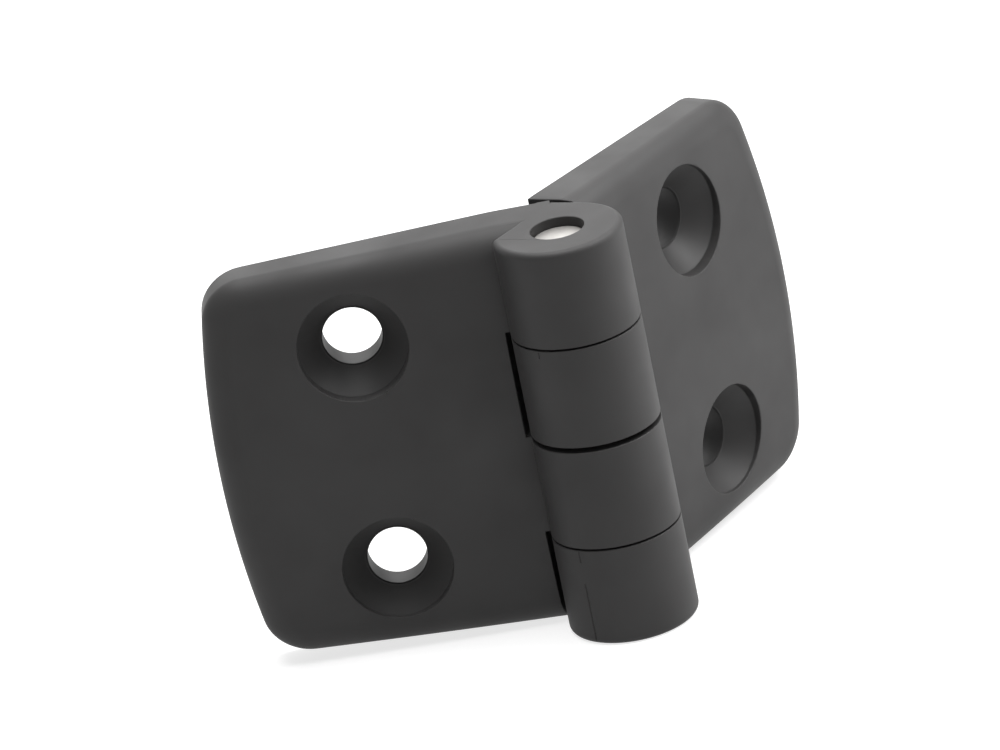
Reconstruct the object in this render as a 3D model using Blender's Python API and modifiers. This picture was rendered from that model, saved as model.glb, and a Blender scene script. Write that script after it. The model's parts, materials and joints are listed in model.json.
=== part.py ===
# Heavy moulded cabinet hinge: two identical leaves, one turned over, on a plain steel pin.
# The hinge stands on its end faces with the pin upright and both leaves folded back.
import math

import bmesh
import bpy
from mathutils import Matrix

# Barrel and pin, in metres
barrel_length = 0.064
barrel_radius = 0.00985
outer_knuckle_length = 0.0155
knuckle_gap = 0.0003  # between an outer knuckle and the inner one beside it
middle_gap = 0.0008  # between the two inner knuckles
knuckle_edge_radius = 0.001
pin_radius = 0.004
pin_clearance = 0.00008
pin_recess = 0.0014
pin_chamfer = 0.0004

# Leaf body
leaf_reach = 0.057  # pin axis to the middle of the outer edge
edge_bow = 0.003  # the outer edge's bulge over the whole height
corner_radius = 0.007
end_taper = 0.038  # how far each end closes in for each unit beyond the barrel
seat_offset = 0.0113  # mounting face behind the pin axis
front_setback = 0.0002  # front face behind the pin axis, beside the barrel
crown_radius_along = 0.24  # the front face's very slight crown, along the pin
crown_radius_across = 0.69
front_fillet = 0.0043
relief_gap = 0.0008  # round the other leaf's knuckles
heel_slant = math.radians(25.5)  # flat from the mounting face down to the barrel
stop_gap = 0.0003  # left between the leaves at the backward stop

# Countersunk screw holes
hole_distance = 0.0334  # from the pin axis
hole_spacing = 0.0362
bore_radius = 0.0045
mouth_radius = 0.00835
mouth_step = 0.0016  # straight wall above the cone
cone_half_angle = math.radians(45)
cone_land = 0.0003  # narrow flat ring at the foot of the cone

# Coring in the mounting face
core_depth = 0.005
rim_wall = 0.0036
boss_wall = 0.0038
rib_width = 0.003
centre_rib_width = 0.007

# Fold of each leaf behind the flat position
rest_fold = math.radians(26.8)
stop_fold = math.radians(28)

# Facets
barrel_facets = 72
knuckle_steps = 50  # round the outside of a knuckle
hole_facets = 48
fillet_steps = 5
corner_steps = 7
bow_steps = 10
edge_steps = 4
crown_cell = 0.0075

overrun = 0.002  # how far a cutter passes the faces it cuts
tiny = 0.00001  # tolerance on a length
flat_angle = 0.001  # faces that turn less than this count as one plane
rim_angle = math.radians(60)  # the plate's front rim turns more than this
sharp_angle = math.radians(30)  # edges that turn more than this are drawn crisp

# Derived sizes
mid_height = barrel_length / 2
inner_knuckle_length = mid_height - outer_knuckle_length - knuckle_gap - middle_gap / 2
outer_knuckle = (barrel_length - outer_knuckle_length, barrel_length)
inner_knuckle = (mid_height - middle_gap / 2 - inner_knuckle_length, mid_height - middle_gap / 2)
pin_hole_radius = pin_radius + pin_clearance
relief_radius = barrel_radius + relief_gap
relief_lean = math.pi / 2 - heel_slant - 2 * stop_fold  # of the relief's flat wall
heel_x = (barrel_radius - seat_offset * math.cos(heel_slant)) / math.sin(heel_slant)
boss_radius = bore_radius + boss_wall
hole_heights = (mid_height - hole_spacing / 2, mid_height + hole_spacing / 2)
depth_behind_pin = leaf_reach * math.sin(rest_fold) + seat_offset * math.cos(rest_fold)
pin_y = (barrel_radius - depth_behind_pin) / 2  # centres the hinge on the origin, front to back


def clear_scene():
    for thing in list(bpy.data.objects):
        bpy.data.objects.remove(thing, do_unlink=True)


def new_collection(name):
    collection = bpy.data.collections.new(name)
    bpy.context.scene.collection.children.link(collection)
    return collection


def plain_material(name, colour, roughness, metallic):
    material = bpy.data.materials.new(name)
    material.use_nodes = True
    shader = material.node_tree.nodes["Principled BSDF"]
    shader.inputs["Base Color"].default_value = (*colour, 1.0)
    shader.inputs["Roughness"].default_value = roughness
    shader.inputs["Metallic"].default_value = metallic
    return material


def add_object(name, mesh, collection):
    thing = bpy.data.objects.new(name, mesh)
    collection.objects.link(thing)
    return thing


def make_guide(thing):
    thing.hide_render = True
    thing.display_type = "WIRE"


def evaluated_mesh(thing):
    bpy.context.view_layer.update()
    evaluated = thing.evaluated_get(bpy.context.evaluated_depsgraph_get())
    return bpy.data.meshes.new_from_object(evaluated)


def arc(centre, radius, start, end, steps):
    angles = [start + (end - start) * i / steps for i in range(steps + 1)]
    return [(centre[0] + radius * math.cos(a), centre[1] + radius * math.sin(a)) for a in angles]


# A flat closed outline in the X-Z plane, extruded from one Y to another
def extruded_outline(name, points, low_y, high_y, collection):
    curve = bpy.data.curves.new(name, "CURVE")
    curve.dimensions = "2D"
    curve.fill_mode = "BOTH"
    curve.extrude = (high_y - low_y) / 2
    spline = curve.splines.new("POLY")
    spline.points.add(len(points) - 1)
    for point, (x, z) in zip(spline.points, points):
        point.co = (x, z, 0, 1)
    spline.use_cyclic_u = True
    outline = add_object(name + "_outline", curve, collection)
    outline.rotation_euler = (math.radians(90), 0, 0)
    outline.location = (0, (low_y + high_y) / 2, 0)
    mesh = evaluated_mesh(outline)
    mesh.name = name
    mesh.transform(outline.matrix_world)
    bpy.data.objects.remove(outline, do_unlink=True)
    shape = bmesh.new()
    shape.from_mesh(mesh)
    bmesh.ops.remove_doubles(shape, verts=shape.verts, dist=tiny)
    bmesh.ops.dissolve_limit(shape, angle_limit=flat_angle, verts=shape.verts, edges=shape.edges)
    bmesh.ops.recalc_face_normals(shape, faces=shape.faces)
    shape.to_mesh(mesh)
    shape.free()
    return add_object(name, mesh, collection)


# A solid turned about Z from a profile of (radius, z) points, given top to bottom
def turned(name, profile, facets, collection):
    mesh = bpy.data.meshes.new(name)
    edges = [(i, i + 1) for i in range(len(profile) - 1)]
    mesh.from_pydata([(r, 0, z) for r, z in profile], edges, [])
    thing = add_object(name, mesh, collection)
    screw = thing.modifiers.new("turn", "SCREW")
    screw.steps = facets
    screw.render_steps = facets
    screw.use_merge_vertices = True
    screw.merge_threshold = tiny
    return thing


def boolean(thing, cutter, operation):
    modifier = thing.modifiers.new(cutter.name, "BOOLEAN")
    modifier.object = cutter
    modifier.operation = operation
    modifier.solver = "EXACT"


# Depth of the crowned front face behind the pin axis
def front_depth(reach, height):
    along = (height - mid_height) ** 2 / (2 * crown_radius_along)
    return front_setback + along + reach**2 / (2 * crown_radius_across)


# The leaf's outline, out along -X: straight ends, round corners and a bowed outer edge
def leaf_outline(inner_reach, inset):
    reach, radius, top = leaf_reach - inset, corner_radius - inset, barrel_length - inset
    bow_radius = (mid_height**2 + edge_bow**2) / (2 * edge_bow) - inset
    bow_centre = reach - bow_radius
    rise = mid_height - corner_radius
    corner_reach = bow_centre + math.sqrt((bow_radius - radius) ** 2 - rise**2)
    lean = math.atan2(rise, corner_reach - bow_centre)
    quarter = math.pi / 2
    lower = arc((corner_reach, inset + radius), radius, -quarter, -lean, corner_steps)
    bow = arc((bow_centre, mid_height), bow_radius, -lean, lean, bow_steps)
    upper = arc((corner_reach, top - radius), radius, lean, quarter, corner_steps)
    points = [(inner_reach, inset)] + lower + bow[1:-1] + upper + [(inner_reach, top)]
    return [(-x, z) for x, z in points]


# Narrows a shape towards its outer edge, because both ends close in beyond the barrel
def taper_ends(shape):
    for vert in shape.verts:
        beyond = max(0, -vert.co.x - barrel_radius)
        vert.co.z = mid_height + (vert.co.z - mid_height) * (1 - end_taper * beyond / mid_height)


def is_front_rim(edge):
    first, second = edge.verts
    in_front = max(first.co.y, second.co.y) < front_setback + tiny
    beyond_heel = min(first.co.x, second.co.x) < heel_x - tiny
    return in_front and beyond_heel and len(edge.link_faces) == 2 and edge.calc_face_angle() > rim_angle


# Cuts the faces in front of the mounting face into a grid, so that they can be crowned
def grid_front(shape):
    for axis, length in ((0, -leaf_reach), (2, barrel_length)):
        cells = round(abs(length) / crown_cell)
        for i in range(1, cells):
            point = [0, 0, 0]
            normal = [0, 0, 0]
            point[axis] = length * i / cells
            normal[axis] = 1
            faces = [face for face in shape.faces if face.calc_center_median().y < seat_offset - tiny]
            edges = {edge for face in faces for edge in face.edges}
            verts = {vert for edge in edges for vert in edge.verts}
            bmesh.ops.bisect_plane(
                shape, geom=list(verts) + list(edges) + faces, dist=tiny,
                plane_co=point, plane_no=normal,
            )


# The leaf's plate: flat mounting face, filleted front rim, crowned front face
def leaf_plate(collection):
    outline = leaf_outline(-heel_x, 0)
    plate = extruded_outline("leaf_plate", outline, front_setback, seat_offset, collection)
    shape = bmesh.new()
    shape.from_mesh(plate.data)
    rim = [edge for edge in shape.edges if is_front_rim(edge)]
    bmesh.ops.bevel(
        shape, geom=rim, offset=front_fillet, offset_type="OFFSET", segments=fillet_steps,
        profile=0.5, affect="EDGES", clamp_overlap=False,
    )
    grid_front(shape)
    for vert in shape.verts:
        share = (seat_offset - vert.co.y) / (seat_offset - front_setback)
        vert.co.y = seat_offset - share * (seat_offset - front_depth(vert.co.x, vert.co.z))
    taper_ends(shape)
    bmesh.ops.triangulate(shape, faces=shape.faces)
    shape.to_mesh(plate.data)
    shape.free()
    return plate


# A box given by two corners, turned about Z on the pin's axis
def turned_box(name, low, high, angle, collection):
    shape = bmesh.new()
    bmesh.ops.create_cube(shape, size=1)
    size = [b - a for a, b in zip(low, high)]
    middle = [(a + b) / 2 for a, b in zip(low, high)]
    shape.transform(Matrix.Translation(middle) @ Matrix.Diagonal((*size, 1)))
    mesh = bpy.data.meshes.new(name)
    shape.to_mesh(mesh)
    shape.free()
    box = add_object(name, mesh, collection)
    box.rotation_euler = (0, 0, angle)
    return box


# A plain cylinder on the pin's axis, with undivided ends
def cylinder(name, radius, low, high, collection):
    shape = bmesh.new()
    bmesh.ops.create_cone(
        shape, cap_ends=True, segments=barrel_facets, radius1=radius, radius2=radius,
        depth=high - low, matrix=Matrix.Translation((0, 0, (low + high) / 2)),
    )
    mesh = bpy.data.meshes.new(name)
    shape.to_mesh(mesh)
    shape.free()
    return add_object(name, mesh, collection)


def is_soft_end(edge, end):
    middle = (edge.verts[0].co + edge.verts[1].co) / 2
    on_end = all(abs(vert.co.y - end) < tiny for vert in edge.verts)
    return on_end and math.hypot(middle.x, middle.z) > (barrel_radius + pin_radius) / 2


# A knuckle: round the pin it is a bar, and a flat heel runs from it up to the mounting face.
# Its outline is drawn in X-Z and laid down, so that Y becomes -Z. The barrel's end gets a soft edge.
def knuckle(name, low, high, collection):
    tangent = math.pi / 2 - heel_slant
    outline = arc((0, 0), barrel_radius, tangent, -math.pi, knuckle_steps)
    outline.append((heel_x, seat_offset))
    thing = extruded_outline(name, outline, -high, -low, collection)
    thing.rotation_euler = (math.radians(-90), 0, 0)
    if high < barrel_length:
        return thing
    shape = bmesh.new()
    shape.from_mesh(thing.data)
    end = [edge for edge in shape.edges if is_soft_end(edge, -high)]
    bmesh.ops.bevel(
        shape, geom=end, offset=knuckle_edge_radius, offset_type="OFFSET",
        segments=edge_steps, profile=0.5, affect="EDGES",
    )
    shape.to_mesh(thing.data)
    shape.free()
    return thing


# Room for the other leaf's knuckle: round, then a flat that meets its heel at the stop
def knuckle_relief(name, low, high, collection):
    relief = cylinder(name, relief_radius, low, high, collection)
    flat = barrel_radius + stop_gap
    flat_low = (-flat, 0, low)
    flat_high = (flat, 2 * seat_offset, high)
    wall = turned_box(name + "_wall", flat_low, flat_high, -relief_lean, collection)
    boolean(relief, wall, "UNION")
    return relief


# One screw hole, turned about its own axis and laid along Y
def screw_hole(name, height, collection):
    front = front_depth(hole_distance, height)
    cone_top = front + mouth_step
    cone_foot_radius = bore_radius + cone_land
    cone_foot = cone_top + (mouth_radius - cone_foot_radius) / math.tan(cone_half_angle)
    profile = [
        (0, -overrun), (mouth_radius, -overrun), (mouth_radius, cone_top),
        (cone_foot_radius, cone_foot), (bore_radius, cone_foot),
        (bore_radius, seat_offset + overrun), (0, seat_offset + overrun),
    ]
    hole = turned(name, [(r, -y) for r, y in profile], hole_facets, collection)
    hole.rotation_euler = (math.radians(90), 0, 0)
    hole.location = (-hole_distance, 0, height)
    return hole


# Coring in the mounting face, which leaves a rim, a boss round each screw hole and ribs
def core_cutter(collection):
    floor, top = seat_offset - core_depth, seat_offset + overrun
    outline = leaf_outline(relief_radius + rim_wall, rim_wall)
    core = extruded_outline("core", outline, floor, top, collection)
    shape = bmesh.new()
    shape.from_mesh(core.data)
    taper_ends(shape)
    shape.to_mesh(core.data)
    shape.free()
    low_y, high_y = floor - overrun, top + overrun
    half_rib, half_centre = rib_width / 2, centre_rib_width / 2
    across = [(height, half_rib) for height in hole_heights] + [(mid_height, half_centre)]
    for i, (height, half) in enumerate(across):
        low = (-leaf_reach, low_y, height - half)
        high = (0, high_y, height + half)
        boolean(core, turned_box(f"rib_{i}", low, high, 0, collection), "DIFFERENCE")
    low = (-hole_distance - half_rib, low_y, -overrun)
    high = (-hole_distance + half_rib, high_y, barrel_length + overrun)
    boolean(core, turned_box("long_rib", low, high, 0, collection), "DIFFERENCE")
    for i, height in enumerate(hole_heights):
        profile = [(0, -low_y), (boss_radius, -low_y), (boss_radius, -high_y), (0, -high_y)]
        boss = turned(f"boss_{i}", profile, hole_facets, collection)
        boss.rotation_euler = (math.radians(90), 0, 0)
        boss.location = (-hole_distance, 0, height)
        boolean(core, boss, "DIFFERENCE")
    return core


# The moulding that both leaves share, reaching along -X from a pin on Z
def leaf_moulding(collection):
    leaf = leaf_plate(collection)
    reliefs = (
        knuckle_relief("end_relief", -overrun, inner_knuckle[0], collection),
        knuckle_relief("inner_relief", inner_knuckle[1], outer_knuckle[0], collection),
    )
    knuckles = (
        knuckle("outer_knuckle", *outer_knuckle, collection),
        knuckle("inner_knuckle", *inner_knuckle, collection),
    )
    top = barrel_length + overrun
    pin_hole = cylinder("pin_hole", pin_hole_radius, -overrun, top, collection)
    holes = [screw_hole(f"screw_hole_{i}", z, collection) for i, z in enumerate(hole_heights)]
    for relief in reliefs:
        boolean(leaf, relief, "DIFFERENCE")
    for part in knuckles:
        boolean(leaf, part, "UNION")
    for cutter in [pin_hole] + holes + [core_cutter(collection)]:
        boolean(leaf, cutter, "DIFFERENCE")
    for thing in collection.objects:
        make_guide(thing)
    mesh = evaluated_mesh(leaf)
    mesh.name = "leaf_moulding"
    return mesh


def finish_leaf(name, moulding, location, rotation, material, collection):
    mesh = moulding.copy()
    mesh.materials.clear()
    mesh.materials.append(material)
    mesh.shade_smooth()
    mesh.set_sharp_from_angle(angle=sharp_angle)
    leaf = add_object(name, mesh, collection)
    leaf.location = location
    leaf.rotation_euler = rotation
    return leaf


def hinge_pin(material, collection):
    low, high = pin_recess, barrel_length - pin_recess
    profile = [
        (0, high), (pin_radius - pin_chamfer, high), (pin_radius, high - pin_chamfer),
        (pin_radius, low + pin_chamfer), (pin_radius - pin_chamfer, low), (0, low),
    ]
    pin = turned("hinge_pin", profile, barrel_facets, collection)
    pin.data.materials.append(material)
    pin.location = (0, pin_y, 0)
    return pin


def build_hinge():
    clear_scene()
    hinge = new_collection("plastic_hinge")
    cutters = new_collection("cutters")
    black = (0.035, 0.035, 0.036)
    fixed_black = plain_material("fixed_leaf_polyamide", black, 0.5, 0.0)
    swing_black = plain_material("swing_leaf_polyamide", black, 0.5, 0.0)
    steel = plain_material("pin_steel", (0.55, 0.55, 0.56), 0.3, 1.0)
    moulding = leaf_moulding(cutters)
    at_pin = (0, pin_y, 0)
    turned_over = (0, pin_y, barrel_length)
    finish_leaf("fixed_leaf", moulding, at_pin, (0, 0, -rest_fold), fixed_black, hinge)
    finish_leaf("swing_leaf", moulding, turned_over, (0, math.pi, rest_fold), swing_black, hinge)
    hinge_pin(steel, hinge)


build_hinge()
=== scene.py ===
import json
import math

import bmesh
import bpy
from mathutils import Matrix, Vector
from mathutils.geometry import intersect_line_sphere

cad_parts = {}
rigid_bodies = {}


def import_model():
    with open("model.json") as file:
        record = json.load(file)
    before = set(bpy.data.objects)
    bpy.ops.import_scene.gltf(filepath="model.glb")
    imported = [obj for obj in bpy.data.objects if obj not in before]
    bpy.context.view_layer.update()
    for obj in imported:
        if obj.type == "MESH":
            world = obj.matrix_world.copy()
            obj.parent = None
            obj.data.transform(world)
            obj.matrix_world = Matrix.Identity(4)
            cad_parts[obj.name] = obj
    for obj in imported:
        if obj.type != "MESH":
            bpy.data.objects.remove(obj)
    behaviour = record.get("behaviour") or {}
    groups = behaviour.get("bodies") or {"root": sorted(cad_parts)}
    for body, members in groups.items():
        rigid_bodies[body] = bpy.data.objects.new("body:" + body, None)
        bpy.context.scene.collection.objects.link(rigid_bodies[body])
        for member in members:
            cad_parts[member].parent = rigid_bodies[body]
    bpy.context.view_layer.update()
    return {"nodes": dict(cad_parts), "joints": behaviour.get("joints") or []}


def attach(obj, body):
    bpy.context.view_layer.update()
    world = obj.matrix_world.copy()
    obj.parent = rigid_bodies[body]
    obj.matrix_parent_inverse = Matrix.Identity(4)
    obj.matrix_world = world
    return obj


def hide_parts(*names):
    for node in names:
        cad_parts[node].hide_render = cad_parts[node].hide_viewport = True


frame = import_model()
print("frame loaded:", ", ".join(frame["nodes"]))

mm = 0.001
nearby = 0.01 * mm  # closer than this counts as the same place
pinAxis = Vector(frame["joints"][0]["pos_m"])  # both leaves turn about this upright line


# Shared helpers

def hexToLinear(text):
    # a material's colours are written as sRGB hex
    values = [int(text[i:i + 2], 16) / 255 for i in (1, 3, 5)]
    return [v / 12.92 if v <= 0.04045 else ((v + 0.055) / 1.055) ** 2.4 for v in values] + [1.0]


def addNode(tree, kind, settings=None, inputs=None):
    # adds one node; an input is either a value or the socket that feeds it
    node = tree.nodes.new(kind)
    for name, value in (settings or {}).items():
        setattr(node, name, value)
    for name, value in (inputs or {}).items():
        socket = node.inputs[name]
        if isinstance(value, bpy.types.NodeSocket):
            tree.links.new(value, socket)
        else:
            socket.default_value = value
    return node


def addMaths(tree, operation, first, second):
    node = addNode(tree, "ShaderNodeMath", {"operation": operation}, {0: first, 1: second})
    return node.outputs["Value"]


def newObject(name, data):
    thing = bpy.data.objects.new(name, data)
    bpy.context.scene.collection.objects.link(thing)
    return thing


def meshFrom(shape, name):
    # rounded to a ten-thousandth of a millimetre, so that ends drawn apart share one plane
    for vert in shape.verts:
        vert.co = [round(c, 7) for c in vert.co]
    mesh = bpy.data.meshes.new(name)
    shape.to_mesh(mesh)
    shape.free()
    return mesh


def evaluatedMesh(thing):
    bpy.context.view_layer.update()
    depsgraph = bpy.context.evaluated_depsgraph_get()
    return bpy.data.meshes.new_from_object(thing.evaluated_get(depsgraph), depsgraph=depsgraph)


def addBoolean(thing, cutter, operation):
    modifier = thing.modifiers.new(cutter.name, "BOOLEAN")
    modifier.object = cutter
    modifier.operation = operation
    modifier.solver = "EXACT"


def arcPoints(centreX, centreZ, radius, start, end, steps):
    angles = [start + (end - start) * i / steps for i in range(steps + 1)]
    return [(centreX + radius * math.cos(a), centreZ + radius * math.sin(a)) for a in angles]


# Materials

def plasticMaterial():
    # black polyamide, injection moulded: the spark-eroded mould leaves a fine even grain that
    # breaks up the gloss, and slow flow of the melt leaves faint patches a little more matt
    plastic = {
        "colour": "#1e1d1d",
        "paler": "#262525",
        "roughness": (0.52, 0.66),
        "ior": 1.46,
        "specular": 0.44,  # the textured skin gives back a little less than a polished one
        "grain": 0.35,  # mm; the real grain is near 0.1 mm, drawn coarser so that it shows
        "grainDepth": 0.012,  # mm
        "grainStrength": 0.35,
        "patch": 14,  # mm
    }
    material = bpy.data.materials.new("mouldedBlackPolyamide")
    material.use_nodes = True
    tree = material.node_tree
    shader = tree.nodes["Principled BSDF"]
    place = addNode(tree, "ShaderNodeTexCoord").outputs["Object"]
    patches = addNode(tree, "ShaderNodeTexNoise", None, {
        "Vector": place, "Scale": 1 / (plastic["patch"] * mm), "Detail": 3.0, "Roughness": 0.55,
    }).outputs["Fac"]
    grain = addNode(tree, "ShaderNodeTexNoise", None, {
        "Vector": place, "Scale": 1 / (plastic["grain"] * mm), "Detail": 2.0, "Roughness": 0.6,
    }).outputs["Fac"]
    colour = addNode(tree, "ShaderNodeMix", {"data_type": "RGBA"}, {
        0: patches, 6: hexToLinear(plastic["colour"]), 7: hexToLinear(plastic["paler"]),
    })
    low, high = plastic["roughness"]
    roughness = addNode(tree, "ShaderNodeMapRange", None, {
        "Value": patches, "From Min": 0.3, "From Max": 0.7, "To Min": low, "To Max": high,
    })
    bump = addNode(tree, "ShaderNodeBump", None, {
        "Height": grain, "Strength": plastic["grainStrength"], "Distance": plastic["grainDepth"] * mm,
    })
    tree.links.new(colour.outputs[2], shader.inputs["Base Color"])
    tree.links.new(roughness.outputs["Result"], shader.inputs["Roughness"])
    tree.links.new(bump.outputs["Normal"], shader.inputs["Normal"])
    shader.inputs["IOR"].default_value = plastic["ior"]
    shader.inputs["Specular IOR Level"].default_value = plastic["specular"]
    return material


def steelMaterial():
    # bright drawn steel, faced in a lathe: fine rings round the pin's axis that catch the light
    steel = {
        "colour": "#b1afac",
        "darker": "#9b9996",
        "roughness": (0.46, 0.56),
        "ring": 0.22,  # mm between tool marks
        "ringDepth": 0.01,  # mm
        "ringStrength": 0.5,
        "streak": 1.5,  # mm
    }
    material = bpy.data.materials.new("turnedBrightSteel")
    material.use_nodes = True
    tree = material.node_tree
    shader = tree.nodes["Principled BSDF"]
    place = addNode(tree, "ShaderNodeTexCoord").outputs["Object"]
    centred = addNode(tree, "ShaderNodeMapping", None, {
        "Vector": place, "Location": (-pinAxis.x, -pinAxis.y, 0),
    }).outputs["Vector"]
    rings = addNode(tree, "ShaderNodeTexWave", {
        "wave_type": "RINGS", "rings_direction": "Z", "wave_profile": "SIN",
    }, {
        "Vector": centred, "Scale": math.pi / (10 * steel["ring"] * mm),
        "Distortion": 1.2, "Detail": 2.0, "Detail Scale": 1.5,
    }).outputs["Fac"]
    streaks = addNode(tree, "ShaderNodeTexNoise", None, {
        "Vector": centred, "Scale": 1 / (steel["streak"] * mm), "Detail": 4.0,
    }).outputs["Fac"]
    colour = addNode(tree, "ShaderNodeMix", {"data_type": "RGBA"}, {
        0: streaks, 6: hexToLinear(steel["colour"]), 7: hexToLinear(steel["darker"]),
    })
    low, high = steel["roughness"]
    roughness = addNode(tree, "ShaderNodeMapRange", None, {
        "Value": rings, "To Min": low, "To Max": high,
    })
    bump = addNode(tree, "ShaderNodeBump", None, {
        "Height": rings, "Strength": steel["ringStrength"], "Distance": steel["ringDepth"] * mm,
    })
    tree.links.new(colour.outputs[2], shader.inputs["Base Color"])
    tree.links.new(roughness.outputs["Result"], shader.inputs["Roughness"])
    tree.links.new(bump.outputs["Normal"], shader.inputs["Normal"])
    shader.inputs["Metallic"].default_value = 1.0
    return material


blackPlastic = plasticMaterial()
brightSteel = steelMaterial()
print("materials made")


# The leaf's moulding, made once: pin on Z, leaf out along -X, mounting face towards +Y

leaf = {
    "height": 64 * mm,
    "reach": 56.99 * mm,  # pin to the middle of the outer edge
    "bow": 3 * mm,
    "corner": 7 * mm,
    "taper": 0.038,  # both ends close in beyond the barrel
    "seat": 11.3 * mm,  # mounting face behind the pin
    "setback": 0.2 * mm,  # front face behind the pin
    "crownAlong": 240 * mm,
    "crownAcross": 690 * mm,
    "frontFillet": 4.3 * mm,
    "filletSteps": 14,
    "cell": 3 * mm,  # mesh cell of the crowned front
    "cornerSteps": 18,
    "bowSteps": 36,
    "fold": math.radians(26.8),
    "stopFold": math.radians(28),
}
barrel = {
    "radius": 9.85 * mm,
    "outerKnuckle": 15.5 * mm,
    "thinGap": 0.3 * mm,
    "middleGap": 0.8 * mm,
    "endRound": 1 * mm,
    "endSteps": 8,
    "relief": 0.8 * mm,  # room round the other leaf's knuckles
    "stopGap": 0.1 * mm,  # a hairline in the photo
    "heelSlant": math.radians(25.5),  # flat from the mounting face down to the barrel
    "facets": 192,
    "knuckleFacets": 131,  # along the round part of a knuckle's outline
}
partingLine = {
    "width": 0.36 * mm,
    "turn": math.radians(1),  # it lies opposite the leaf
    "stretches": [(16 * mm, 17 * mm), (48.5 * mm, 50.5 * mm), (54 * mm, 66 * mm)],  # the line is broken
}
screwHole = {
    "distance": 33.4 * mm,
    "spacing": 36.2 * mm,
    "bore": 4.5 * mm,
    "mouth": 8.35 * mm,
    "step": 1.6 * mm,
    "land": 0.3 * mm,
    "coneAngle": math.radians(45),
    "facets": 128,
}
smallRound = {
    "width": 0.16 * mm,  # what the mould leaves on a sharp edge
    "steps": 2,
    "weld": 0.004 * mm,
    "foldedBack": math.radians(170),  # a sliver lies folded on its neighbour above this
    "flat": math.radians(0.1),  # faces join into one below this
    "edgeTurn": math.radians(33),  # an edge counts as sharp above this
    "crowded": 2 * mm,  # edges that meet in a tight corner stay sharp this far round it
    "crease": math.radians(15),  # and turns above this show where a round ends there
    "faceWeight": 60,
}
coring = {
    "depth": 5 * mm,
    "rim": 3.6 * mm,
    "boss": 3.8 * mm,
    "rib": 3 * mm,
    "centreRib": 7 * mm,
}
middle = leaf["height"] / 2
overrun = 2 * mm  # how far a cutter reaches past what it cuts
slant = barrel["heelSlant"]
heelX = (barrel["radius"] - leaf["seat"] * math.cos(slant)) / math.sin(slant)  # the heel's tip


def frontDepth(x, z):
    along = (z - middle) ** 2 / (2 * leaf["crownAlong"])
    return leaf["setback"] + along + x ** 2 / (2 * leaf["crownAcross"])


def leafOutline(innerX, inset):
    # straight ends, round corners and a bowed outer edge
    reach, radius, top = leaf["reach"] - inset, leaf["corner"] - inset, leaf["height"] - inset
    bowRadius = (middle ** 2 + leaf["bow"] ** 2) / (2 * leaf["bow"]) - inset
    bowCentre = reach - bowRadius
    rise = middle - leaf["corner"]
    cornerX = bowCentre + math.sqrt((bowRadius - radius) ** 2 - rise ** 2)
    lean = math.atan2(rise, cornerX - bowCentre)
    points = [(innerX, inset)]
    points += arcPoints(cornerX, inset + radius, radius, -math.pi / 2, -lean, leaf["cornerSteps"])
    points += arcPoints(bowCentre, middle, bowRadius, -lean, lean, leaf["bowSteps"])[1:-1]
    points += arcPoints(cornerX, top - radius, radius, lean, math.pi / 2, leaf["cornerSteps"])
    points += [(innerX, top)]
    return [(-x, z) for x, z in points]


def prism(points, lowY, highY):
    shape = bmesh.new()
    face = shape.faces.new([shape.verts.new((x, lowY, z)) for x, z in points])
    grown = bmesh.ops.extrude_face_region(shape, geom=[face])["geom"]
    for part in grown:
        if isinstance(part, bmesh.types.BMVert):
            part.co.y = highY
    bmesh.ops.recalc_face_normals(shape, faces=shape.faces)
    return shape


def taperEnds(shape):
    for vert in shape.verts:
        beyond = max(0, -vert.co.x - barrel["radius"])
        vert.co.z = middle + (vert.co.z - middle) * (1 - leaf["taper"] * beyond / middle)


def cutAlong(shape, axis, place):
    # a cut across everything but the mounting face, for the crown to bend
    faces = [f for f in shape.faces if f.calc_center_median().y < leaf["seat"] - nearby]
    edges = {e for f in faces for e in f.edges}
    verts = {v for e in edges for v in e.verts}
    point, normal = Vector(), Vector()
    point[axis], normal[axis] = place, 1
    bmesh.ops.bisect_plane(
        shape, geom=list(verts) + list(edges) + faces, dist=0.001 * mm, plane_co=point, plane_no=normal,
    )


def leafPlate():
    shape = prism(leafOutline(-heelX, 0), leaf["setback"], leaf["seat"])
    rim = []
    for edge in shape.edges:
        first, second = (v.co for v in edge.verts)
        inFront = max(first.y, second.y) < leaf["setback"] + nearby
        if inFront and min(first.x, second.x) < heelX - nearby:
            rim.append(edge)
    bmesh.ops.bevel(
        shape, geom=rim, offset=leaf["frontFillet"], offset_type="OFFSET", segments=leaf["filletSteps"],
        profile=0.5, affect="EDGES", clamp_overlap=False,
    )
    cutAlong(shape, 0, -barrel["radius"])
    columns, rows = round(leaf["reach"] / leaf["cell"]), round(leaf["height"] / leaf["cell"])
    for i in range(1, columns):
        cutAlong(shape, 0, -i * leaf["cell"])
    for i in range(1, rows):
        cutAlong(shape, 2, i * leaf["height"] / rows)
    for vert in shape.verts:
        share = (leaf["seat"] - vert.co.y) / (leaf["seat"] - leaf["setback"])
        vert.co.y = leaf["seat"] - share * (leaf["seat"] - frontDepth(vert.co.x, vert.co.z))
    taperEnds(shape)
    return newObject("leafPlate", meshFrom(shape, "leafPlate"))


def roundBar(name, radius, low, high):
    shape = bmesh.new()
    bmesh.ops.create_cone(
        shape, cap_ends=True, segments=barrel["facets"], radius1=radius, radius2=radius,
        depth=high - low, matrix=Matrix.Translation((0, 0, (low + high) / 2)),
    )
    return newObject(name, meshFrom(shape, name))


def turnedBox(name, low, high, angle):
    shape = bmesh.new()
    bmesh.ops.create_cube(shape, size=1)
    size = [b - a for a, b in zip(low, high)]
    place = [(a + b) / 2 for a, b in zip(low, high)]
    box = Matrix.Translation(place) @ Matrix.Diagonal((*size, 1))
    shape.transform(Matrix.Rotation(angle, 4, "Z") @ box)
    return newObject(name, meshFrom(shape, name))


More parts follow.
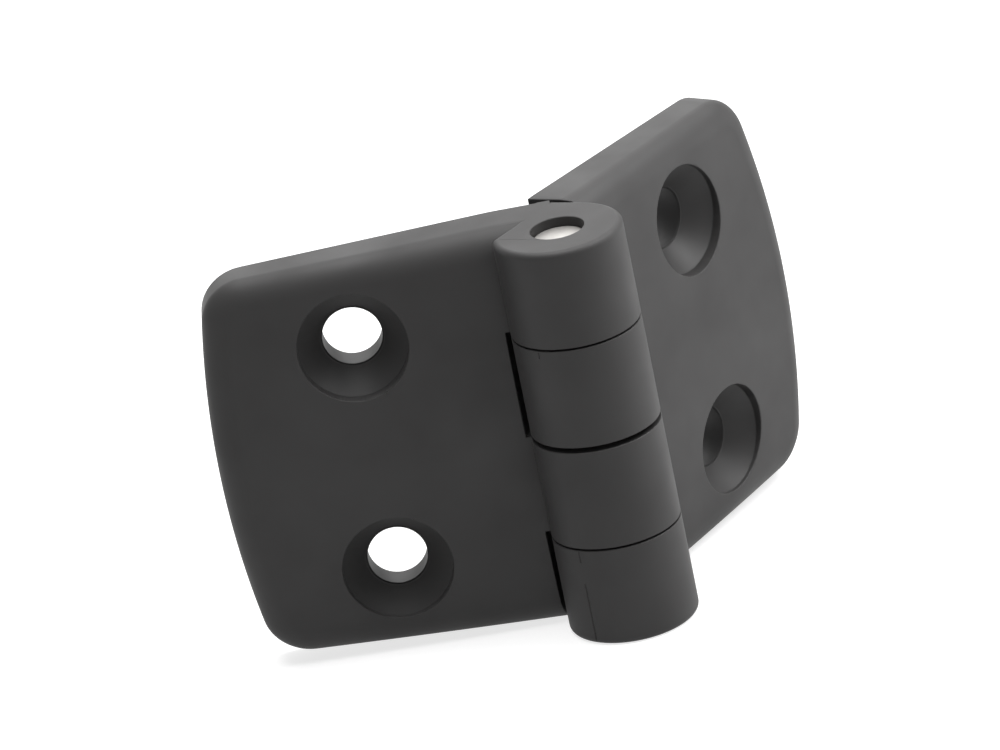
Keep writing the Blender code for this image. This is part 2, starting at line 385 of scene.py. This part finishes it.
def knuckle(name, low, high):
    # a bar round the pin, with a flat heel from it up to the mounting face; its outline is
    # drawn upright and laid down, and the barrel's end has a soft edge
    tangent = math.pi / 2 - barrel["heelSlant"]
    outline = arcPoints(0, 0, barrel["radius"], tangent, -math.pi, barrel["knuckleFacets"])
    shape = prism(outline + [(heelX, leaf["seat"])], -high, -low)
    if high == leaf["height"]:
        end = [e for e in shape.edges if max(v.co.y for v in e.verts) < -high + nearby]
        bmesh.ops.bevel(
            shape, geom=end, offset=barrel["endRound"], offset_type="OFFSET",
            segments=barrel["endSteps"], profile=0.5, affect="EDGES",
        )
    shape.transform(Matrix.Rotation(-math.pi / 2, 4, "X"))
    return newObject(name, meshFrom(shape, name))


def knuckleRelief(name, low, high):
    # round for the other leaf's knuckle, then flat where its heel comes at the stop
    relief = roundBar(name, barrel["radius"] + barrel["relief"], low, high)
    flat = barrel["radius"] + barrel["stopGap"]
    lean = math.pi / 2 - barrel["heelSlant"] - 2 * leaf["stopFold"]
    wall = turnedBox(name + "Wall", (-flat, 0, low), (flat, 2 * leaf["seat"], high), -lean)
    addBoolean(relief, wall, "UNION")
    return relief


def newTree(name, lengths):
    # a tree that takes these lengths, a number of facets and a material
    tree = bpy.data.node_groups.new(name, "GeometryNodeTree")
    kinds = [(each, "NodeSocketFloat") for each in lengths]
    kinds += [("Facets", "NodeSocketInt"), ("Material", "NodeSocketMaterial")]
    for each, kind in kinds:
        tree.interface.new_socket(name=each, in_out="INPUT", socket_type=kind)
    tree.interface.new_socket(name="Geometry", in_out="OUTPUT", socket_type="NodeSocketGeometry")
    return tree, addNode(tree, "NodeGroupInput").outputs


def finishTree(tree, given, geometry):
    real = addNode(tree, "GeometryNodeRealizeInstances", None, {
        "Geometry": geometry,
    }).outputs["Geometry"]
    done = addNode(tree, "GeometryNodeSetMaterial", None, {
        "Geometry": real, "Material": given["Material"],
    }).outputs["Geometry"]
    addNode(tree, "NodeGroupOutput", None, {"Geometry": done})
    return tree


def screwPlaces(tree, given, depth):
    # one point at each screw, and how far sideways they lie
    sideways = addMaths(tree, "MULTIPLY", given["Distance"], -1.0)
    halfSpacing = addMaths(tree, "MULTIPLY", given["Spacing"], 0.5)
    lowest = addMaths(tree, "SUBTRACT", given["Middle"], halfSpacing)
    first = addNode(tree, "ShaderNodeCombineXYZ", None, {
        "X": sideways, "Y": depth, "Z": lowest,
    }).outputs["Vector"]
    step = addNode(tree, "ShaderNodeCombineXYZ", None, {"Z": given["Spacing"]}).outputs["Vector"]
    places = addNode(tree, "GeometryNodeMeshLine", {"mode": "OFFSET"}, {
        "Count": 2, "Start Location": first, "Offset": step,
    }).outputs["Mesh"]
    return places, sideways


def countersinkTree():
    # a countersunk cutter, grown face by face from its mouth, and set at each screw's place
    tree, given = newTree("countersinkTree", (
        "Mouth Radius", "Foot Radius", "Bore Radius", "Mouth Length", "Cone Length", "Bore Length",
        "Start", "Distance", "Spacing", "Middle",
    ))
    disc = addNode(tree, "GeometryNodeMeshCircle", {"fill_type": "NGON"}, {
        "Vertices": given["Facets"], "Radius": given["Mouth Radius"],
    }).outputs["Mesh"]
    mouth = addNode(tree, "GeometryNodeExtrudeMesh", {"mode": "FACES"}, {
        "Mesh": disc, "Offset Scale": given["Mouth Length"], "Individual": False,
    })
    cone = addNode(tree, "GeometryNodeExtrudeMesh", {"mode": "FACES"}, {
        "Mesh": mouth.outputs["Mesh"], "Selection": mouth.outputs["Top"],
        "Offset Scale": given["Cone Length"], "Individual": False,
    })
    footShare = addMaths(tree, "DIVIDE", given["Foot Radius"], given["Mouth Radius"])
    foot = addNode(tree, "GeometryNodeScaleElements", {"domain": "FACE"}, {
        "Geometry": cone.outputs["Mesh"], "Selection": cone.outputs["Top"], "Scale": footShare,
    }).outputs["Geometry"]
    land = addNode(tree, "GeometryNodeExtrudeMesh", {"mode": "FACES"}, {
        "Mesh": foot, "Selection": cone.outputs["Top"], "Offset Scale": 0.0, "Individual": False,
    })
    boreShare = addMaths(tree, "DIVIDE", given["Bore Radius"], given["Foot Radius"])
    boreStart = addNode(tree, "GeometryNodeScaleElements", {"domain": "FACE"}, {
        "Geometry": land.outputs["Mesh"], "Selection": land.outputs["Top"], "Scale": boreShare,
    }).outputs["Geometry"]
    bore = addNode(tree, "GeometryNodeExtrudeMesh", {"mode": "FACES"}, {
        "Mesh": boreStart, "Selection": land.outputs["Top"], "Offset Scale": given["Bore Length"],
        "Individual": False,
    }).outputs["Mesh"]
    lid = addNode(tree, "GeometryNodeFlipFaces", None, {"Mesh": disc}).outputs["Mesh"]
    both = addNode(tree, "GeometryNodeJoinGeometry")
    tree.links.new(lid, both.inputs["Geometry"])
    tree.links.new(bore, both.inputs["Geometry"])
    cutter = addNode(tree, "GeometryNodeMergeByDistance", None, {
        "Geometry": both.outputs["Geometry"], "Distance": 0.001 * mm,
    }).outputs["Geometry"]
    places, _ = screwPlaces(tree, given, given["Start"])
    pair = addNode(tree, "GeometryNodeInstanceOnPoints", None, {
        "Points": places, "Instance": cutter, "Rotation": (-math.pi / 2, 0, 0),
    }).outputs["Instances"]
    return finishTree(tree, given, pair)


def ribTree():
    # what stays standing in the cored back: a boss and a rib at each screw hole, a wide rib
    # between them and one rib along the leaf
    tree, given = newTree("ribTree", (
        "Boss Radius", "Rib Width", "Centre Rib Width", "Length", "Depth",
        "Distance", "Spacing", "Middle", "Floor",
    ))
    boss = addNode(tree, "GeometryNodeMeshCylinder", {"fill_type": "NGON"}, {
        "Vertices": given["Facets"], "Radius": given["Boss Radius"], "Depth": given["Depth"],
    }).outputs["Mesh"]
    boss = addNode(tree, "GeometryNodeTransform", None, {
        "Geometry": boss, "Rotation": (math.pi / 2, 0, 0),
    }).outputs["Geometry"]
    ribSize = addNode(tree, "ShaderNodeCombineXYZ", None, {
        "X": given["Length"], "Y": given["Depth"], "Z": given["Rib Width"],
    }).outputs["Vector"]
    rib = addNode(tree, "GeometryNodeMeshCube", None, {"Size": ribSize}).outputs["Mesh"]
    bossAndRib = addNode(tree, "GeometryNodeMeshBoolean", {"operation": "UNION", "solver": "EXACT"})
    tree.links.new(boss, bossAndRib.inputs["Mesh 2"])
    tree.links.new(rib, bossAndRib.inputs["Mesh 2"])
    places, sideways = screwPlaces(tree, given, given["Floor"])
    pair = addNode(tree, "GeometryNodeInstanceOnPoints", None, {
        "Points": places, "Instance": bossAndRib.outputs["Mesh"],
    }).outputs["Instances"]
    real = addNode(tree, "GeometryNodeRealizeInstances", None, {"Geometry": pair}).outputs["Geometry"]
    centre = addNode(tree, "ShaderNodeCombineXYZ", None, {
        "X": sideways, "Y": given["Floor"], "Z": given["Middle"],
    }).outputs["Vector"]
    crossing = []
    for across, up in (("Length", "Centre Rib Width"), ("Rib Width", "Length")):
        size = addNode(tree, "ShaderNodeCombineXYZ", None, {
            "X": given[across], "Y": given["Depth"], "Z": given[up],
        }).outputs["Vector"]
        bar = addNode(tree, "GeometryNodeMeshCube", None, {"Size": size}).outputs["Mesh"]
        crossing.append(addNode(tree, "GeometryNodeTransform", None, {
            "Geometry": bar, "Translation": centre,
        }).outputs["Geometry"])
    ribs = addNode(tree, "GeometryNodeMeshBoolean", {"operation": "UNION", "solver": "EXACT"})
    for part in (real, *crossing):
        tree.links.new(part, ribs.inputs["Mesh 2"])
    return finishTree(tree, given, ribs.outputs["Mesh"])


def grownFromTree(name, tree, values):
    # runs a tree once and keeps its result as a plain mesh
    thing = newObject(name, bpy.data.meshes.new(name))
    modifier = thing.modifiers.new(name, "NODES")
    modifier.node_group = tree
    for socket in tree.interface.items_tree:
        if socket.in_out == "INPUT":
            modifier[socket.identifier] = values[socket.name]
    mesh = evaluatedMesh(thing)
    bpy.data.objects.remove(thing, do_unlink=True)
    return newObject(name, mesh)


def countersinks():
    frontAtHole = frontDepth(screwHole["distance"], middle + screwHole["spacing"] / 2)
    foot = screwHole["bore"] + screwHole["land"]
    coneLength = (screwHole["mouth"] - foot) / math.tan(screwHole["coneAngle"])
    mouthLength = overrun + frontAtHole + screwHole["step"]
    return grownFromTree("countersinks", countersinkTree(), {
        "Mouth Radius": screwHole["mouth"], "Foot Radius": foot, "Bore Radius": screwHole["bore"],
        "Mouth Length": mouthLength, "Cone Length": coneLength,
        "Bore Length": leaf["seat"] + 2 * overrun - mouthLength - coneLength,
        "Start": -overrun, "Distance": screwHole["distance"], "Spacing": screwHole["spacing"],
        "Middle": middle, "Facets": screwHole["facets"], "Material": blackPlastic,
    })


def backCore():
    floor, top = leaf["seat"] - coring["depth"], leaf["seat"] + overrun
    inner = barrel["radius"] + barrel["relief"] + coring["rim"]
    shape = prism(leafOutline(inner, coring["rim"]), floor, top)
    taperEnds(shape)
    core = newObject("backCore", meshFrom(shape, "backCore"))
    ribs = grownFromTree("backRibs", ribTree(), {
        "Boss Radius": screwHole["bore"] + coring["boss"], "Rib Width": coring["rib"],
        "Centre Rib Width": coring["centreRib"], "Length": 2 * leaf["height"],
        "Depth": 2 * (coring["depth"] + overrun) + overrun, "Distance": screwHole["distance"],
        "Spacing": screwHole["spacing"], "Middle": middle, "Floor": leaf["seat"],
        "Facets": screwHole["facets"], "Material": blackPlastic,
    })
    addBoolean(core, ribs, "DIFFERENCE")
    return core


def partingCutter():
    # where the mould's halves meet, a fine broken groove is left along the knuckles
    shape = bmesh.new()
    side = partingLine["width"] / math.sqrt(2)
    for low, high in partingLine["stretches"]:
        place = Matrix.Translation((barrel["radius"], 0, (low + high) / 2))
        place = place @ Matrix.Rotation(math.pi / 4, 4, "Z")
        bmesh.ops.create_cube(shape, size=1, matrix=place @ Matrix.Diagonal((side, side, high - low, 1)))
    shape.transform(Matrix.Rotation(partingLine["turn"], 4, "Z"))
    return newObject("partingCutter", meshFrom(shape, "partingCutter"))


def markSharpEdges(shape):
    # sharp edges get a bevel weight, except round the heel's tip and the barrel's inner corner,
    # where many short ones meet; an edge that runs out of such a place is split there first
    crowded = smallRound["crowded"]
    spots = (
        Vector((heelX, leaf["seat"], leaf["height"])),
        Vector((-barrel["radius"], 0, leaf["height"])),
    )
    for spot in spots:
        for edge in [e for e in shape.edges if e.calc_face_angle(0) > smallRound["edgeTurn"]]:
            start, end = sorted(edge.verts, key=lambda v: (v.co - spot).length)
            if (start.co - spot).length < crowded < (end.co - spot).length:
                hits = [h for h in intersect_line_sphere(start.co, end.co, spot, crowded) if h]
                share = (hits[0] - start.co).length / edge.calc_length()
                bmesh.utils.edge_split(edge, start, share)
    weight = shape.edges.layers.float.new("bevel_weight_edge")
    for edge in shape.edges:
        reach = min((v.co - spot).length for v in edge.verts for spot in spots)
        sharp = edge.calc_face_angle(0) > smallRound["edgeTurn"]
        rounded = sharp and reach > crowded - nearby
        edge[weight] = float(rounded)
        edge.smooth = rounded or not sharp


def softenEdges(mesh):
    # the small round that a mould leaves on every edge; a sliver that lies folded back on its
    # neighbour joins it first
    shape = bmesh.new()
    shape.from_mesh(mesh)
    bmesh.ops.remove_doubles(shape, verts=shape.verts, dist=smallRound["weld"])
    folded = [e for e in shape.edges if e.calc_face_angle(0) > smallRound["foldedBack"]]
    bmesh.ops.dissolve_edges(shape, edges=folded, use_verts=False)
    shape.normal_update()
    bmesh.ops.dissolve_limit(
        shape, angle_limit=smallRound["flat"], verts=shape.verts, edges=shape.edges, delimit={"SHARP"},
    )
    markSharpEdges(shape)
    shape.to_mesh(mesh)
    shape.free()
    thing = newObject("moulding", mesh)
    soft = thing.modifiers.new("edgeRound", "BEVEL")
    soft.width = smallRound["width"]
    soft.segments = smallRound["steps"]
    soft.limit_method = "WEIGHT"
    soft.use_clamp_overlap = False
    soft.loop_slide = False
    groove = partingCutter()
    addBoolean(thing, groove, "DIFFERENCE")
    for face in mesh.polygons:
        face.use_smooth = True
    result = evaluatedMesh(thing)
    for part in (thing, groove):
        bpy.data.objects.remove(part, do_unlink=True)
    return evenNormals(result)


def evenNormals(mesh):
    # the large faces set the normals of the rounds beside them; where a rounded edge runs out
    # into a sharp one, each face keeps its own
    shape = bmesh.new()
    shape.from_mesh(mesh)
    ends = {v for e in shape.edges if not e.smooth for v in e.verts}
    for vert in ends:
        for edge in vert.link_edges:
            if edge.calc_face_angle(0) > smallRound["crease"]:
                edge.smooth = False
    shape.to_mesh(mesh)
    shape.free()
    thing = newObject("evened", mesh)
    even = thing.modifiers.new("evenNormals", "WEIGHTED_NORMAL")
    even.keep_sharp = True
    even.weight = smallRound["faceWeight"]
    result = evaluatedMesh(thing)
    bpy.data.objects.remove(thing, do_unlink=True)
    return result


def leafMoulding():
    before = set(bpy.data.objects)
    innerLength = middle - barrel["outerKnuckle"] - barrel["thinGap"] - barrel["middleGap"] / 2
    innerTop = middle - barrel["middleGap"] / 2
    innerLow = innerTop - innerLength
    outerLow = leaf["height"] - barrel["outerKnuckle"]
    holeRadius = pin["radius"] + pin["clearance"]
    plate = leafPlate()
    steps = [
        (knuckleRelief("endRelief", -overrun, innerLow), "DIFFERENCE"),
        (knuckleRelief("innerRelief", innerTop, outerLow), "DIFFERENCE"),
        (knuckle("outerKnuckle", outerLow, leaf["height"]), "UNION"),
        (knuckle("innerKnuckle", innerLow, innerTop), "UNION"),
        (roundBar("pinHole", holeRadius, -overrun, leaf["height"] + overrun), "DIFFERENCE"),
        (countersinks(), "DIFFERENCE"),
        (backCore(), "DIFFERENCE"),
    ]
    for cutter, operation in steps:
        addBoolean(plate, cutter, operation)
    mesh = evaluatedMesh(plate)
    for thing in set(bpy.data.objects) - before:
        bpy.data.objects.remove(thing, do_unlink=True)
    mesh = softenEdges(mesh)
    mesh.materials.clear()
    mesh.materials.append(blackPlastic)
    return mesh


pin = {
    "radius": 4 * mm,
    "clearance": 0.08 * mm,
    "recess": 1.4 * mm,
    "chamfer": 0.4 * mm,
    "chamferSteps": 3,
    "edgeTurn": math.radians(30),
    "facets": 160,
}


def turnedPin():
    # turned from bar, its ends faced and chamfered
    low, high = pin["recess"], leaf["height"] - pin["recess"]
    shape = bmesh.new()
    bmesh.ops.create_cone(
        shape, cap_ends=True, segments=pin["facets"], radius1=pin["radius"], radius2=pin["radius"],
        depth=high - low, matrix=Matrix.Translation((0, 0, (low + high) / 2)),
    )
    rims = [e for e in shape.edges if abs(e.verts[0].co.z - e.verts[1].co.z) < nearby]
    bmesh.ops.bevel(
        shape, geom=rims, offset=pin["chamfer"], offset_type="OFFSET", segments=pin["chamferSteps"],
        profile=0.5, affect="EDGES",
    )
    for face in shape.faces:
        face.smooth = True
    shape.transform(Matrix.Translation((pinAxis.x, pinAxis.y, 0)))
    mesh = meshFrom(shape, "turnedPin")
    mesh.set_sharp_from_angle(angle=pin["edgeTurn"])
    mesh.materials.append(brightSteel)
    return newObject("turnedPin", mesh)


def placedLeaf(name, place):
    mesh = moulding.copy()
    mesh.transform(place)
    return newObject(name, mesh)


moulding = leafMoulding()
print("leaf moulded:", len(moulding.polygons), "faces")

atPin = Matrix.Translation((pinAxis.x, pinAxis.y, 0))
turnedOver = Matrix.Translation((0, 0, leaf["height"])) @ Matrix.Rotation(math.pi, 4, "Y")
fixedLeaf = placedLeaf("fixedLeaf", atPin @ Matrix.Rotation(-leaf["fold"], 4, "Z"))
swingLeaf = placedLeaf("swingLeaf", atPin @ Matrix.Rotation(leaf["fold"], 4, "Z") @ turnedOver)
steelPin = turnedPin()

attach(fixedLeaf, "fixed")
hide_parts("fixed_leaf")
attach(swingLeaf, "swing")
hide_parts("swing_leaf")
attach(steelPin, "fixed")
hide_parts("hinge_pin")
print("leaves and pin placed")


# Floor, light and camera

def seenDirectly(tree):
    # 1 where a ray comes from the camera, a reflection or clear matter, and 0 for light that
    # only falls on something
    rays = addNode(tree, "ShaderNodeLightPath").outputs
    seen = addMaths(tree, "MAXIMUM", rays["Is Camera Ray"], rays["Is Glossy Ray"])
    return addMaths(tree, "MAXIMUM", seen, rays["Is Transmission Ray"])


def plainFloor():
    floor = {"size": 6, "colour": "#b0b0b0", "glow": 0.74}
    shape = bmesh.new()
    bmesh.ops.create_grid(shape, x_segments=1, y_segments=1, size=floor["size"] / 2)
    thing = newObject("floor", meshFrom(shape, "floor"))
    material = bpy.data.materials.new("paleFloor")
    material.use_nodes = True
    tree = material.node_tree
    tree.nodes.clear()
    strength = addMaths(tree, "MULTIPLY", seenDirectly(tree), floor["glow"])
    paint = addNode(tree, "ShaderNodeBsdfDiffuse", None, {"Color": hexToLinear(floor["colour"])})
    glow = addNode(tree, "ShaderNodeEmission", None, {"Strength": strength})
    total = addNode(tree, "ShaderNodeAddShader", None, {
        0: paint.outputs["BSDF"], 1: glow.outputs["Emission"],
    })
    addNode(tree, "ShaderNodeOutputMaterial", None, {"Surface": total.outputs["Shader"]})
    thing.data.materials.append(material)


def softLamp(name, place, aim, size, power):
    data = bpy.data.lights.new(name, "AREA")
    data.shape = "RECTANGLE"
    data.size, data.size_y = size
    data.energy = power
    lamp = newObject(name, data)
    lamp.location = place
    lamp.rotation_euler = (Vector(aim) - Vector(place)).to_track_quat("-Z", "Y").to_euler()


def studioLight():
    studio = {"falling": 0.12, "seen": 1.0}  # the world's strength on things, and as it is seen
    world = bpy.data.worlds.new("studio")
    bpy.context.scene.world = world
    world.use_nodes = True
    tree = world.node_tree
    tree.nodes.clear()
    strength = addNode(tree, "ShaderNodeMapRange", None, {
        "Value": seenDirectly(tree), "To Min": studio["falling"], "To Max": studio["seen"],
    })
    light = addNode(tree, "ShaderNodeBackground", None, {
        "Color": (1, 1, 1, 1), "Strength": strength.outputs["Result"],
    })
    addNode(tree, "ShaderNodeOutputWorld", None, {"Surface": light.outputs["Background"]})
    hinge, besideIt = (0, 0, 0.03), (0.3, -0.119, 0)
    # place, aim and size in metres, power in watts
    lamps = {
        "topLamp": ((0, 0, 1), hinge, (0.7, 0.7), 11),
        "backLamp": ((0.3, 0.68, 0.78), hinge, (1, 1.3), 5.6),
        "lowBackLamp": ((0.4, 0.9, 0.32), hinge, (1, 0.4), 0.8),
        "rightLamp": ((0.9, -0.3, 0.09), hinge, (0.9, 0.14), 2.6),
        "floorLamp": ((0.3, -0.12, 0.35), besideIt, (0.3, 0.3), 3),
    }
    for name, settings in lamps.items():
        softLamp(name, *settings)


def photoCamera():
    view = {
        "azimuth": math.radians(23.814),
        "elevation": math.radians(22.259),
        "roll": math.radians(11.501),
        "distance": 2.50301,
        "aim": Vector((-0.005911, 0.004841, 0.03699)),
        "lens": 602.296,  # mm, on a sensor 36 mm wide
    }
    data = bpy.data.cameras.new("photoCamera")
    data.sensor_width = 36
    data.lens = view["lens"]
    data.clip_end = 20
    camera = newObject("photoCamera", data)
    flat = math.cos(view["elevation"])
    forward = Vector((
        flat * math.sin(view["azimuth"]), flat * math.cos(view["azimuth"]), -math.sin(view["elevation"]),
    ))
    camera.rotation_mode = "QUATERNION"
    look = forward.to_track_quat("-Z", "Y").to_matrix().to_4x4()
    place = Matrix.Translation(view["aim"] - forward * view["distance"])
    camera.matrix_world = place @ look @ Matrix.Rotation(-view["roll"], 4, "Z")
    bpy.context.scene.camera = camera


plainFloor()
studioLight()
photoCamera()
bpy.context.scene.view_settings.view_transform = "Standard"
print("floor, light and camera set")
